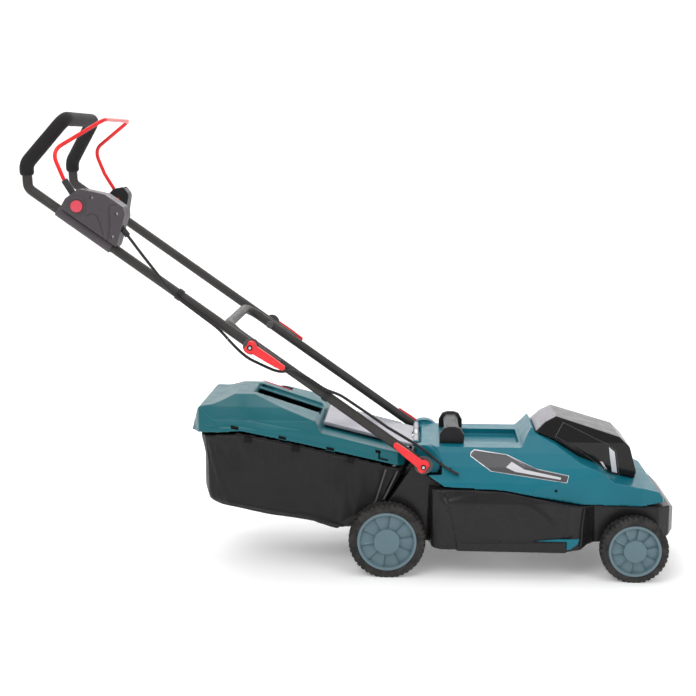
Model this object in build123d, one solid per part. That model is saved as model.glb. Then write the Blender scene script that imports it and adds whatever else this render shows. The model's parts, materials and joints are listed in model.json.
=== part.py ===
from build123d import *
import math
import os

os.makedirs("parts", exist_ok=True)

# Walk-behind push mower. Millimetres. While modelling, X = 0 is the rear axle, +X is the direction of
# travel, +Y is the left side and Z = 0 is the ground. CENTRE_SHIFT then moves the whole object so that
# the origin sits on the ground under the middle of its outline.
CENTRE_SHIFT = 76.0

# Wheels and axles
REAR_X, REAR_R = 0.0, 80.0
FRONT_X, FRONT_R = 508.0, 70.0
WHEEL_IN, WHEEL_OUT = 152.0, 190.0
AXLE_R = 6.0
RUN = 0.05
GAP = 0.3

# Handle
TUBE_R = 10.0
TUBE_WALL = 1.8
LOW_PIVOT = (73.7, 237.7)
HIGH_PIVOT = (-279.0, 484.7)
LOW_Y, HIGH_Y = 149.8, 170.2
CROSS_S = 497.0
BAR_HALF = 116.0
BOLT_R = 4.0
FOAM_R = 15.0

# Bail and lock button
BAIL = (-625.0, 767.0)
BAIL_R = 4.0
BAIL_BAR = (-587.0, 940.0)
BAIL_HALF = 110.0
BUTTON_R = 12.0

# Blade and motor
BLADE_X = 245.0
BLADE_R = 163.0
BLADE_Z = 82.0
CHAMBER_R = 176.0
FLOOR_Z = 130.0
SHAFT_R = 6.0

# Battery bay
LID_HINGE = (524.0, 202.0)
PACK_X = (332.0, 464.0)
PACK_Z = (166.0, 256.0)

# Rear flap and grass box
FLAP_HINGE = (57.0, 268.0)
WALL = 3.0

slope = math.hypot(HIGH_PIVOT[0] - LOW_PIVOT[0], HIGH_PIVOT[1] - LOW_PIVOT[1])
UX = (HIGH_PIVOT[0] - LOW_PIVOT[0]) / slope
UZ = (HIGH_PIVOT[1] - LOW_PIVOT[1]) / slope


def on_tube(s, lift=0.0):
    """Point in XZ at distance s up the handle line from the lower pivot, lifted square to it."""
    return LOW_PIVOT[0] + UX * s + UZ * lift, LOW_PIVOT[1] + UZ * s - UX * lift


def box(x0, x1, y0, y1, z0, z1):
    size = (x1 - x0, y1 - y0, z1 - z0)
    return Pos((x0 + x1) / 2, (y0 + y1) / 2, (z0 + z1) / 2) * Box(*size)


def rod(a, b, r):
    """Cylinder of radius r between two 3-D points."""
    axis = Vector(*b) - Vector(*a)
    base = Plane(origin=a, z_dir=axis)
    return extrude(base * Circle(r), axis.length)


def rod_y(x, z, y0, y1, r):
    return rod((x, y0, z), (x, y1, z), r)


def rod_z(x, y, z0, z1, r):
    return rod((x, y, z0), (x, y, z1), r)


def ring(a, b, r_out, r_in):
    return rod(a, b, r_out) - rod(a, b, r_in)


def outline(points, inset=0.0, radius=0.0):
    line = FilletPolyline(*points, radius=radius, close=True) if radius else Polyline(*points, close=True)
    face = make_face(line)
    return offset(face, amount=-inset, kind=Kind.INTERSECTION) if inset else face


def side_prism(points, y0, y1, inset=0.0, radius=0.0):
    """Outline in XZ swept along Y from y0 to y1."""
    plane = Plane(origin=(0, y0, 0), x_dir=(1, 0, 0), z_dir=(0, -1, 0))
    face = plane * outline(points, inset, radius)
    return extrude(face, y0 - y1)


def plan_prism(points, z0, z1, inset=0.0, radius=0.0):
    """Outline in XY swept along Z."""
    return extrude(Pos(0, 0, z0) * outline(points, inset, radius), z1 - z0)


def end_prism(points, x0, x1, inset=0.0, radius=0.0):
    """Outline in YZ swept along X."""
    plane = Plane(origin=(x0, 0, 0), x_dir=(0, 1, 0), z_dir=(1, 0, 0))
    return extrude(plane * outline(points, inset, radius), x1 - x0)


def both(half):
    """Half outline given for positive Y, completed on the other side."""
    return half + [(a, -b) for a, b in reversed(half)]


def both_yz(half):
    return half + [(-a, b) for a, b in reversed(half)]


def bent(points, r, bend=None):
    """Round rod along straight runs; with no bend given, each corner gets the widest arc its runs leave room for."""
    if bend is None:
        bend = []
        for before, corner, after in zip(points, points[1:], points[2:]):
            a, b = Vector(*corner) - Vector(*before), Vector(*after) - Vector(*corner)
            half_turn = math.radians(a.get_angle(b)) / 2
            bend.append(0.45 * min(a.length, b.length) / max(math.tan(half_turn), 0.02))
    path = FilletPolyline(*points, radius=bend)
    start = Plane(origin=path @ 0, z_dir=path % 0)
    return sweep(start * Circle(r), path=path)


def bent_tube(points, r_out, r_in, bend):
    return bent(points, r_out, bend) - bent(points, r_in, bend)


def pair(part):
    """The same piece on both sides of the mower, as two solids."""
    return [part, mirror(part, about=Plane.XZ)]


def mirrored(part):
    return mirror(part, about=Plane.XZ)


nodes = {}


# ---------------------------------------------------------------- wheels and axles
def tyre(x, r):
    rim = r * 0.775
    profile = [
        (rim, WHEEL_IN),
        (r - 5, WHEEL_IN),
        (r, WHEEL_IN + 6),
        (r, WHEEL_OUT - 6),
        (r - 5, WHEEL_OUT),
        (rim, WHEEL_OUT),
    ]
    face = Plane.XY * make_face(Polyline(*profile, close=True))
    body = Pos(x, 0, r) * revolve(face, axis=Axis.Y)
    middle = (WHEEL_IN + WHEEL_OUT) / 2
    return body - (ring((x, middle - 1.5, r), (x, middle + 1.5, r), r + 2, r - 2.5))


def rim(x, r):
    seat = r * 0.775
    profile = [
        (AXLE_R + RUN, WHEEL_IN),
        (15, WHEEL_IN),
        (17, WHEEL_IN + 18),
        (seat - 8, WHEEL_IN + 18),
        (seat - 5, WHEEL_IN + 2),
        (seat, WHEEL_IN + 2),
        (seat, WHEEL_OUT - 2),
        (seat - 4, WHEEL_OUT - 2),
        (seat - 7, WHEEL_OUT - 9),
        (26, WHEEL_OUT - 5),
        (26, WHEEL_OUT - 12),
        (AXLE_R + RUN, WHEEL_OUT - 12),
    ]
    face = Plane.XY * make_face(Polyline(*profile, close=True))
    body = Pos(x, 0, r) * revolve(face, axis=Axis.Y)
    for k in range(11):
        turn = math.radians(k * 360 / 11)
        a = (x + 27 * math.cos(turn), WHEEL_OUT - 8.5, r + 27 * math.sin(turn))
        b = (x + (seat - 6) * math.cos(turn), WHEEL_OUT - 8.5, r + (seat - 6) * math.sin(turn))
        body += rod(a, b, 2.6)
    return body


def hub_cap(x, r):
    cup = rod_y(x, r, WHEEL_OUT - 12, WHEEL_OUT + 1, 25.5)
    return cup - rod_y(x, r, WHEEL_OUT - 12, WHEEL_OUT - 1.5, 15)


for place, x, r in (("rear", REAR_X, REAR_R), ("front", FRONT_X, FRONT_R)):
    pieces = {"tyre": [tyre(x, r)], "wheel_rim": [rim(x, r), hub_cap(x, r)]}
    for name, solids in pieces.items():
        nodes[f"{name}_{place}_left"] = solids
        nodes[f"{name}_{place}_right"] = [mirrored(solid) for solid in solids]

nodes["axles"] = [
    rod_y(x, r, 5 - WHEEL_OUT, WHEEL_OUT - 5, AXLE_R) for x, r in ((REAR_X, REAR_R), (FRONT_X, FRONT_R))
]
nuts = []
for x, r in ((REAR_X, REAR_R), (FRONT_X, FRONT_R)):
    nuts += pair(ring((x, WHEEL_OUT - 11.6, r), (x, WHEEL_OUT - 6, r), 11, AXLE_R))
nodes["axle_nuts"] = nuts

# ---------------------------------------------------------------- deck
deck_side = [
    (-52, 72), (82, 72), (100, 64), (398, 64), (415, 74), (579, 87), (598, 92), (598, 141),
    (585, 152), (396, 158), (320, 172), (240, 187), (118, 192), (82, 212), (54, 236),
]
deck_plan = both([
    (-60, 0), (-60, 146), (86, 146), (92, 172), (112, 184), (372, 184), (402, 168), (428, 147),
    (560, 147), (585, 128), (598, 96), (602, 0),
][1:-1])
deck_end = both_yz([(186, 40), (186, 158), (181, 176), (178.5, 189), (150, 193), (147, 260)])
outer = side_prism(deck_side, -190, 190)
outer &= plan_prism(deck_plan, 30, 260)
outer &= end_prism(deck_end, -80, 620)
inside_side = [
    (-40, 20), (594, 20), (594, 138), (582, 148), (396, 154), (320, 168), (240, 183), (118, 188),
    (82, 206), (54, 228),
]
inner = side_prism(inside_side, -190, 190)
inner &= plan_prism(deck_plan, 10, 260, inset=4)
inner &= end_prism(both_yz([(182, 0), (182, 157), (177, 175), (174.5, 185), (142, 188), (142, 260)]), -80, 620)
deck = outer - inner
chamber = rod_z(BLADE_X, 0, 64, FLOOR_Z + 4, CHAMBER_R + 4) - rod_z(BLADE_X, 0, 60, FLOOR_Z, CHAMBER_R)
deck += chamber & (plan_prism(deck_plan, 30, 260, inset=2))
deck += box(96, 560, -143.5, 143.5, FLOOR_Z, FLOOR_Z + 4) - rod_z(BLADE_X, 0, 100, 160, CHAMBER_R)
deck += box(470, 546, -143.5, 143.5, 58, 84) - box(474, 542, -139, 139, 50, 80)
for strip in pair(side_prism([(145, 63), (368, 63), (368, 87.5), (145, 82)], 181.5, 188)):
    deck += strip
# opening under the cover, discharge chute and its mouth in the rear wall
deck -= box(112, 548, -138, 138, FLOOR_Z + 6, 240)
deck -= side_prism([(-90, 104), (130, 72), (130, 126), (60, 226), (20, 226)], -84, 84)
deck -= rod_z(BLADE_X, 0, 100, 160, 22)
deck += box(-30, 30, 84, 142.5, 96, 100) + box(-30, 30, -142.5, -84, 96, 100)
for x, r in ((REAR_X, REAR_R), (FRONT_X, FRONT_R)):
    for s in (-1, 1):
        deck += rod_y(x, r, s * 130, s * 150, 13)
    deck -= rod_y(x, r, -200, 200, AXLE_R + 0.2)
# room for the round ends of the handle tubes as they fold
for s in (-1, 1):
    deck -= rod_y(*LOW_PIVOT, s * 138.2, s * 165, 18.6)
nodes["deck"] = deck

comb = side_prism([(300, 88), (350, 93), (394, 94), (391, 83), (376, 72), (368.5, 70.5), (368.5, 88)], 186.4, 190)
for k in range(3):
    x = 371 + 6 * k
    comb -= side_prism([(x, 66), (x + 2, 66), (x + 5, 90), (x + 3, 90)], 188.4, 192)
nodes["lawn_combs"] = pair(comb)

# ---------------------------------------------------------------- motor cover
cover_side = [
    (63, 231), (63, 260), (70, 266), (278, 266), (288, 282), (302, 303), (309, 290), (350, 272),
    (400, 240.5), (442, 224.5), (467, 205), (516, 194), (530, 192), (562, 181),
    (577, 160), (525, 155), (396, 160), (320, 174.5), (240, 189.5), (118, 194.5), (84, 215),
]
cover_end = both_yz([(176, 140), (176, 186), (170, 205), (150, 232), (126, 257), (114, 266), (84, 286), (66, 306)])
cover_plan = both([(63, 147), (90, 166), (130, 176), (300, 175), (396, 163), (525, 152), (570, 134), (580, 100)])


def cover_block(inset):
    block = side_prism(cover_side, -190, 190, inset)
    block &= plan_prism(cover_plan, 100, 300, inset)
    return block & end_prism(cover_end, 40, 600, inset)


cover = cover_block(0)
cover -= side_prism(
    [
        (66, 150), (66, 258), (71, 263), (281.5, 263), (290.5, 280), (301.8, 297.5), (306.8, 286.5), (349, 269),
        (399, 237.5), (441, 221.5), (466, 202), (515, 191), (529, 189), (560, 178), (574, 150),
    ],
    -190, 190,
) & end_prism(both_yz([(173, 100), (173, 185), (167, 203), (148, 229), (124, 254), (112, 263), (82, 283), (64, 303)]), 40, 600) & (
    plan_prism(cover_plan, 90, 300, inset=3)
)
cover -= box(316, 482, -69, 69, 190, 310)
cover -= box(114, 276, -64, 64, 252, 310)
cover += box(111, 279, -67, 67, 249, 263.5) - box(114, 276, -64, 64, 252, 310)
hump = [(58, 236.5), (63, 232), (84, 215.5), (112, 215.5), (112, 290), (58, 290)]
for s in (-1, 1):
    notch = side_prism([(40, 217), (112, 217), (112, 300), (40, 300)], min(s * 138, s * 190), max(s * 138, s * 190))
    cover -= notch
    cover += rod_y(*LOW_PIVOT, s * 112, s * 137.7, 37) & side_prism(hump, -140, 140)
    cover -= rod_y(*LOW_PIVOT, s * 100, s * 150, BOLT_R + 0.1)
nodes["top_cover"] = cover

handle_post = side_prism([(107, 266.3), (159, 266.3), (159, 284), (151, 298), (140, 302), (126, 302), (115, 298), (107, 284)], 72, 84)
handle_bar = side_prism([(119, 280), (147, 280), (149, 290), (143, 297), (123, 297), (117, 290)], -72, 72, radius=2)
nodes["carry_handle"] = handle_post + mirrored(handle_post) + handle_bar

# ---------------------------------------------------------------- battery bay
tray = box(318, 480, -68.7, 68.7, 160, 236) - box(321, 477, -65.7, 65.7, 163, 240)
tray += box(321, 477, -1, 1, 163, 236)
tray += box(330, 352, -60, 60, 134.3, 160) - box(334, 348, -56, 56, 130, 158)
nodes["battery_tray"] = tray

pack = box(*PACK_X, 3, 63, *PACK_Z)
pack = chamfer(pack.edges().filter_by(Axis.Z), 5)
pack += box(PACK_X[0] + 20, PACK_X[1] - 20, 22, 44, PACK_Z[1], PACK_Z[1] + 5)
nodes["battery_pack_left"] = pack
nodes["battery_pack_right"] = mirrored(pack)

key = box(467, 474, -12, -3, 200, 238) + box(466, 475, -15, -2, 238, 254)
nodes["safety_key"] = key

board = box(370, 460, -50, 50, 136.5, 138.5)
for k in range(4):
    board += rod_z(385 + 18 * k, -25, 138.5, 150, 6)
board += box(380, 440, 5, 40, 138.5, 152)
nodes["controller_board"] = board

lid_end = both_yz([(76, 150), (76, 272), (62, 326)])
lid_outer = side_prism(
    [
        (309.5, 292), (330, 312), (353, 324), (487, 283), (508, 262), (523, 209), (519.5, 195.5), (468, 207.5),
        (443, 227), (401, 243), (351, 274.5),
    ],
    -90, 90,
) & end_prism(lid_end, 200, 600)
lid_inner = side_prism(
    [(316, 270), (316, 290), (333, 308), (353, 319.5), (485, 279.5), (503.5, 260), (517.5, 211), (514, 188), (460, 188)],
    -90, 90,
)
lid_inner &= end_prism(both_yz([(72, 150), (72, 271), (58.5, 322)]), 200, 600)
lid = lid_outer - lid_inner
lid += rod_y(*LID_HINGE, -30, 30, 6) + side_prism([(519, 206), (524, 196.5), (529, 202), (523, 214)], -30, 30)
lid -= rod_y(*LID_HINGE, -80, 80, 2 + RUN)
for s in (-1, 1):
    lid -= side_prism([(510, 215), (534, 215), (534, 188), (510, 188)], min(s * 30, s * 38.6), max(s * 30, s * 38.6))
nodes["battery_lid"] = lid
ears = []
for s in (-1, 1):
    ear = rod_y(*LID_HINGE, s * 30.3, s * 38, 6)
    ear += side_prism([(519, 201), (528, 198), (526, 190.5), (540, 190.5)], min(s * 30.3, s * 38), max(s * 30.3, s * 38))
    ears.append(ear - rod_y(*LID_HINGE, -60, 60, 2))
# the ears and the recess for the lid's knuckle belong to the cover
cover = nodes["top_cover"] - rod_y(*LID_HINGE, -30.3, 30.3, 8) - side_prism(
    [(506, 222), (530, 222), (530, 196), (520, 192), (512, 200)], -30.3, 30.3
)
nodes["top_cover"] = cover + (ears[0] + ears[1])

# ---------------------------------------------------------------- motor and blade
can = rod_z(BLADE_X, 0, FLOOR_Z + 4.3, 216, 47) - rod_z(BLADE_X, 0, FLOOR_Z + 8, 212, 44)
can -= rod_z(BLADE_X, 0, 120, 146, 12)
can += ring((BLADE_X, 0, FLOOR_Z + 4.3), (BLADE_X, 0, FLOOR_Z + 8), 58, 40)
nodes["motor_can"] = can
stator = ring((BLADE_X, 0, 150), (BLADE_X, 0, 200), 43.9, 26)
for k in range(12):
    turn = math.radians(30 * k + 15)
    x, y = 27 * math.cos(turn), 27 * math.sin(turn)
    far_x, far_y = 38 * math.cos(turn), 38 * math.sin(turn)
    stator -= rod((BLADE_X + x, y, 175), (BLADE_X + far_x, far_y, 175), 3.2)
nodes["motor_stator"] = stator
bearing_low = ring((BLADE_X, 0, FLOOR_Z + 8.2), (BLADE_X, 0, 146), 13, SHAFT_R + RUN)
bearing_high = ring((BLADE_X, 0, 203), (BLADE_X, 0, 211.8), 13, SHAFT_R + RUN)
nodes["motor_bearings"] = [bearing_low, bearing_high]
nodes["rotor_shaft"] = rod_z(BLADE_X, 0, BLADE_Z + 1, 210, SHAFT_R) - rod_z(BLADE_X, 0, 80, 104, 3)
nodes["rotor_magnets"] = ring((BLADE_X, 0, 152), (BLADE_X, 0, 198), 25.4, SHAFT_R)
nodes["blade_adapter"] = ring((BLADE_X, 0, 87.3), (BLADE_X, 0, 112), 20, SHAFT_R)
blade = box(BLADE_X - 24, BLADE_X + 24, -BLADE_R + 0.5, BLADE_R - 0.5, BLADE_Z, BLADE_Z + 4)
blade &= rod_z(BLADE_X, 0, 60, 100, BLADE_R)
for s in (-1, 1):
    lift = end_prism([(s * 110, BLADE_Z + 4), (s * 150, BLADE_Z + 4), (s * 150, BLADE_Z + 20), (s * 146, BLADE_Z + 20)], -14, 14)
    blade += Pos(BLADE_X - s * 10, 0, 0) * lift
blade -= rod_z(BLADE_X, 0, 60, 100, SHAFT_R)
nodes["blade"] = blade
head = extrude(Pos(BLADE_X, 0, BLADE_Z - 16) * RegularPolygon(11, 6), 10)
bolt = head + rod_z(BLADE_X, 0, BLADE_Z - 6, BLADE_Z - 0.1, 16) + rod_z(BLADE_X, 0, BLADE_Z - 6, 100, 2.9)
nodes["blade_bolt"] = bolt

# ---------------------------------------------------------------- rear flap
flap_line = [(54, 263.5), (-136, 311), (-139, 307.5), (-139, 303.5), (46, 259), (54, 259)]
flap = side_prism(flap_line, -88, 88)
for k in range(-4, 5):
    flap += side_prism([(30, 264), (30, 269.5), (-124, 308), (-126, 306)], 18 * k - 1.5, 18 * k + 1.5)
flap += rod_y(*FLAP_HINGE, -88, 88, 6)
flap -= rod_y(*FLAP_HINGE, -100, 100, 3 + RUN)
flap -= box(49, 66, -30, 30, 255, 280)
nodes["rear_flap"] = flap
nodes["hinge_pins"] = [rod_y(*FLAP_HINGE, -98, 98, 3), rod_y(*LID_HINGE, -44, 44, 2)]
nodes["flap_spring"] = ring((FLAP_HINGE[0], -24, FLAP_HINGE[1]), (FLAP_HINGE[0], 24, FLAP_HINGE[1]), 5.2, 3.4)
for s in (-1, 1):
    lug = rod_y(*FLAP_HINGE, s * 88.6, s * 98, 6.5)
    lug += side_prism([(51, 264), (63.5, 267), (70, 256), (64, 250)], min(s * 88.6, s * 98), max(s * 88.6, s * 98))
    nodes["top_cover"] += lug - rod_y(*FLAP_HINGE, -110, 110, 3)

# ---------------------------------------------------------------- grass box
crown_side = [
    (38, 232), (38, 250), (30, 258), (-140, 299), (-152, 322), (-286, 365), (-330, 365), (-398, 336),
    (-424, 304), (-426, 288), (-410, 291), (-308, 300), (-184, 276), (26, 231),
]
crown_plan = both([(38, 100), (34, 132), (20, 149), (-350, 149), (-398, 130), (-420, 90), (-427, 30)])
crown_end = both_yz([(149, 200), (149, 302), (142, 322), (116, 345), (70, 367)])
crown = side_prism(crown_side, -160, 160) & plan_prism(crown_plan, 200, 400) & end_prism(crown_end, -450, 60)
under_side = [
    (35, 200), (35, 248), (29, 255), (-142, 296), (-154, 319.5), (-286, 362), (-329, 362), (-396, 334),
    (-420, 303), (-422, 280), (-422, 200),
]
under = side_prism(under_side, -160, 160) & plan_prism(crown_plan, 100, 400, inset=3)
under &= end_prism(both_yz([(146, 100), (146, 301), (139, 320), (115, 342), (69, 364)]), -450, 60)
crown -= under
# sunken grip on top of the lid
recess = side_prism([(-294, 370), (-136, 370), (-150, 312), (-170, 304), (-280, 318)], -50, 50, radius=6)
pan = side_prism([(-299, 361), (-150, 318), (-147, 296), (-172, 298), (-286, 312)], -53, 53, radius=4)
crown += pan & side_prism(crown_side, -160, 160)
crown -= recess
crown += side_prism([(-297, 362), (-151, 316), (-151, 312.5), (-297, 358.5)], 28, 51)
# frame of the fill-level window
for_window = side_prism([(-290, 375), (-222, 375), (-222, 320), (-290, 320)], 76, 104)
crown -= for_window
# the flap's landing and the crown are two mouldings that meet at the foot of the step
nodes["grass_box_lid"] = crown - box(-140.5, -140.2, -170, 170, 150, 400)

window = side_prism([(-289.7, 362), (-222.3, 340.5), (-222.3, 333), (-289.7, 354)], 76.3, 103.7)
window -= side_prism([(-284, 375), (-228, 375), (-228, 320), (-284, 320)], 81, 99)
window += rod_y(-281.5, 353, 76.5, 103.5, 4) & side_prism([(-289.7, 364), (-277, 364), (-277, 345), (-289.7, 345)], 70, 110)
window -= rod_y(-281.5, 353, 81, 99, 5)
window -= rod_y(-281.5, 353, 70, 110, 1.5)
nodes["level_window_frame"] = [window, rod_y(-281.5, 353, 77, 103, 1.5)]
gauge = rod_y(-281.5, 353, 81.5, 98.5, 3.5) + side_prism([(-282, 356.5), (-231, 340.4), (-231, 337.4), (-282, 352)], 81.5, 98.5)
gauge -= rod_y(-281.5, 353, 70, 110, 1.5 + RUN)
nodes["level_indicator"] = gauge

bag_side = [
    (26, 224), (-4, 162), (-34, 120), (-72, 92), (-100, 92), (-166, 108), (-251, 117), (-339, 134), (-384, 146), (-392, 165),
    (-384, 227), (-398, 288), (-308, 296), (-184, 272),
]
bag_plan = both([(27, 136), (-24, 142), (-364, 142), (-388, 130), (-399, 98), (-401, 30)])
bag = side_prism(bag_side, -150, 150) & plan_prism(bag_plan, 60, 320)
hollow = side_prism(
    [(38, 245), (28, 221), (-7, 163), (-37, 122), (-73, 95), (-100, 95), (-166, 111), (-251, 120), (-338, 137), (-381, 148.5), (-389, 165), (-381, 227), (-395, 284), (-400, 320), (-184, 300)],
    -150, 150,
) & plan_prism(bag_plan, 50, 330, inset=3)
bag -= hollow
bag -= side_prism([(50, 214), (0, 120), (-60, 120), (-10, 214)], -84, 84)
nodes["grass_bag"] = bag
nodes["bag_wires"] = pair(rod((-8, 145.4, 158), (20, 145.4, 220), 2)) + pair(rod((-26, 145.4, 150), (-4, 145.4, 224), 2))
clip = box(-300, -286, 142.3, 148.6, 276, 288) + box(-200, -186, 142.3, 148.6, 258, 270)
clip += box(-84, -72, 142.3, 148.6, 236, 248)
nodes["bag_clips"] = pair(clip)

# ---------------------------------------------------------------- handle tubes
def line3(s, y, lift=0.0):
    x, z = on_tube(s, lift)
    return (x, y, z)


low_points = [line3(-14, -LOW_Y), line3(CROSS_S, -LOW_Y), line3(CROSS_S, LOW_Y), line3(-14, LOW_Y)]
low_tube = bent_tube(low_points, TUBE_R, TUBE_R - TUBE_WALL, 42)
low_tube -= rod_y(*LOW_PIVOT, -180, 180, BOLT_R + RUN)
low_tube -= rod_y(*HIGH_PIVOT, -180, 180, BOLT_R + RUN)
nodes["lower_handle_tube"] = low_tube

arm_low = (-733.5, 850.0)
bar = (-668.0, 941.0)
elbow = line3((LOW_PIVOT[0] + 731.5) / -UX, 0)
high_points = [
    line3(365, -HIGH_Y), (elbow[0], -HIGH_Y, elbow[2]), (arm_low[0], -HIGH_Y, arm_low[1]), (bar[0], -BAR_HALF, bar[1]),
    (bar[0], BAR_HALF, bar[1]), (arm_low[0], HIGH_Y, arm_low[1]), (elbow[0], HIGH_Y, elbow[2]), line3(365, HIGH_Y),
]
high_tube = bent_tube(high_points, TUBE_R, TUBE_R - TUBE_WALL, 20)
high_tube -= rod_y(*HIGH_PIVOT, -190, 190, BOLT_R + RUN)
nodes["upper_handle_tube"] = high_tube

grip_points = [
    (-732.6, -HIGH_Y, 826), (arm_low[0], -HIGH_Y, arm_low[1]), (bar[0], -BAR_HALF, bar[1]),
    (bar[0], BAR_HALF, bar[1]), (arm_low[0], HIGH_Y, arm_low[1]), (-732.6, HIGH_Y, 826),
]
nodes["foam_grip"] = bent_tube(grip_points, FOAM_R, TUBE_R, 20)


# ---------------------------------------------------------------- cam levers
def cam_lever(pivot, y, tip):
    """Right-hand cam lever lying from its pivot to its tip, and the bolt and washer it clamps with."""
    length = math.hypot(tip[0] - pivot[0], tip[1] - pivot[1])
    along = ((tip[0] - pivot[0]) / length, 0, (tip[1] - pivot[1]) / length)
    place = Plane(origin=(pivot[0], -y, pivot[1]), x_dir=along, z_dir=(0, -1, 0))
    head = Cylinder(13, 19) & (Rot(90, 0, 0) * Cylinder(9.5, 30))
    arm = [(0, -9.4), (length * 0.6, -8), (length, -5.5), (length + 3, 0), (length, 5.5), (length * 0.6, 8), (0, 9.4)]
    lever = head + Pos(0, 0, -3) * extrude(outline(arm), 8)
    lever += Pos(length * 0.72, 0, 5) * Cylinder(4.5, 3)
    lever -= Pos(0, 0, -8) * Box(7.4, 7.4, 24)
    lever -= Pos(-8, 0, -4) * Box(16, 7.4, 15.4)
    lever -= Rot(90, 0, 0) * Cylinder(3.6 + RUN, 40)
    stud = Rot(90, 0, 0) * Cylinder(3.6, 16)
    return place * lever, place * stud


low_lever, low_stud = cam_lever(LOW_PIVOT, 173.0, (15.0, 283.0))
high_lever, high_stud = cam_lever(HIGH_PIVOT, 192.8, (-212.0, 442.0))
for name, lever in (("lower", low_lever), ("upper", high_lever)):
    nodes[f"cam_lever_{name}_right"] = lever
    nodes[f"cam_lever_{name}_left"] = mirrored(lever)

low_bolt = rod_y(*LOW_PIVOT, -160.2, -106, BOLT_R) + rod_y(*LOW_PIVOT, -173, -160, 3) + low_stud
low_bolt += rod_y(*LOW_PIVOT, -111.7, -106, 7)
low_washer = ring((LOW_PIVOT[0], -163.2, LOW_PIVOT[1]), (LOW_PIVOT[0], -160.2, LOW_PIVOT[1]), 19, BOLT_R)
nodes["lower_clamp_bolts"] = pair(low_bolt) + pair(low_washer)
high_bolt = rod_y(*HIGH_PIVOT, -180.2, -134, BOLT_R) + rod_y(*HIGH_PIVOT, -192.8, -180, 3) + high_stud
high_bolt += rod_y(*HIGH_PIVOT, -139.4, -134, 8)
high_washer = ring((HIGH_PIVOT[0], -183, HIGH_PIVOT[1]), (HIGH_PIVOT[0], -180.4, HIGH_PIVOT[1]), 17, BOLT_R)
nodes["upper_clamp_bolts"] = pair(high_bolt) + pair(high_washer)

# ---------------------------------------------------------------- switch box, bail and lock button
shell = [(-668, 746), (-660, 764), (-650, 782), (-622, 802), (-569, 791), (-533, 766), (-529, 751), (-547, 689), (-564, 670)]
arm_slot = [(-612, 756), (-610, 830), (-700, 830), (-700, 812), (-636, 756)]
tube_hole = rod(line3(600, -HIGH_Y), line3(1000, -HIGH_Y), TUBE_R + 0.1)
outer_half = side_prism(shell, -196, -170.35, radius=6)
inner_half = side_prism(shell, -170.05, -147, radius=6)
# the lower edge of the outer half is a sleeve round the tube
strip_corners = [on_tube(730, 10), on_tube(940, 10), on_tube(940, -40), on_tube(730, -40)]
outer_half -= side_prism(strip_corners, -200, -170)
sleeve = rod(line3(776, -HIGH_Y), line3(908, -HIGH_Y), 13.5)
outer_half += sleeve & box(-800, -400, -190, -170.35, 600, 900)
switch_pocket = box(-610, -560, -190, -171, 735, 775)
outer_half -= rod_y(*BAIL, -200, -188, BUTTON_R + RUN) + rod_y(*BAIL, -189, -180, 10) + side_prism(arm_slot, -179, -160)
outer_half = outer_half - tube_hole - switch_pocket
inner_half -= side_prism(arm_slot, -180, -161.5) + rod_y(*BAIL, -165, -140, BAIL_R + RUN)
inner_half = inner_half - tube_hole
for x, z in ((-556, 706), (-546, 752), (-596, 784)):
    outer_half -= rod_y(x, z, -200, -186, 3.5)
bezel = ring((BAIL[0], -199, BAIL[1]), (BAIL[0], -196, BAIL[1]), 18, BUTTON_R + RUN)
nodes["switch_box_outer"] = outer_half + bezel
nodes["switch_box_inner"] = inner_half
nodes["switch_box_screws"] = [rod_y(x, z, -189, -186, 3.3) for x, z in ((-556, 706), (-546, 752), (-596, 784))]
nodes["lock_button"] = rod_y(*BAIL, -203, -193.5, BUTTON_R) + rod_y(*BAIL, -193.5, -188, 5)
nodes["button_spring"] = ring((BAIL[0], -192.8, BAIL[1]), (BAIL[0], -180.3, BAIL[1]), 9, 7)
nodes["microswitch"] = box(-606, -578, -188, -176, 740, 758) + box(-600, -596, -185, -180, 758, 762)

bracket = [(-652, 752), (-648, 776), (-634, 790), (-612, 794), (-594, 770), (-586, 728), (-574, 702), (-590, 690)]
far = side_prism(bracket, 147, 186, radius=6)
far -= side_prism(arm_slot, 161.5, 179) + rod_y(*BAIL, 140, 165, BAIL_R + RUN)
far -= rod(line3(600, HIGH_Y), line3(1000, HIGH_Y), TUBE_R + 0.1)
nodes["bail_bracket"] = far

bail_points = [
    (BAIL[0], -152, BAIL[1]), (BAIL[0], -HIGH_Y, BAIL[1]), (-659, -HIGH_Y, 822), (-681, -HIGH_Y, 876),
    (BAIL_BAR[0], -BAIL_HALF, BAIL_BAR[1]), (BAIL_BAR[0], BAIL_HALF, BAIL_BAR[1]), (-681, HIGH_Y, 876),
    (-659, HIGH_Y, 822), (BAIL[0], HIGH_Y, BAIL[1]), (BAIL[0], 152, BAIL[1]),
]
nodes["bail_rod"] = bent(bail_points, BAIL_R, 8)
sleeve_dir = Vector(-34, 0, 55).normalized()
sleeve_a = Vector(BAIL[0], -HIGH_Y, BAIL[1]) + sleeve_dir * 14
sleeve_b = Vector(BAIL[0], -HIGH_Y, BAIL[1]) + sleeve_dir * 60
nodes["bail_sleeve"] = ring(tuple(sleeve_a), tuple(sleeve_b), 7, BAIL_R)

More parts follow.
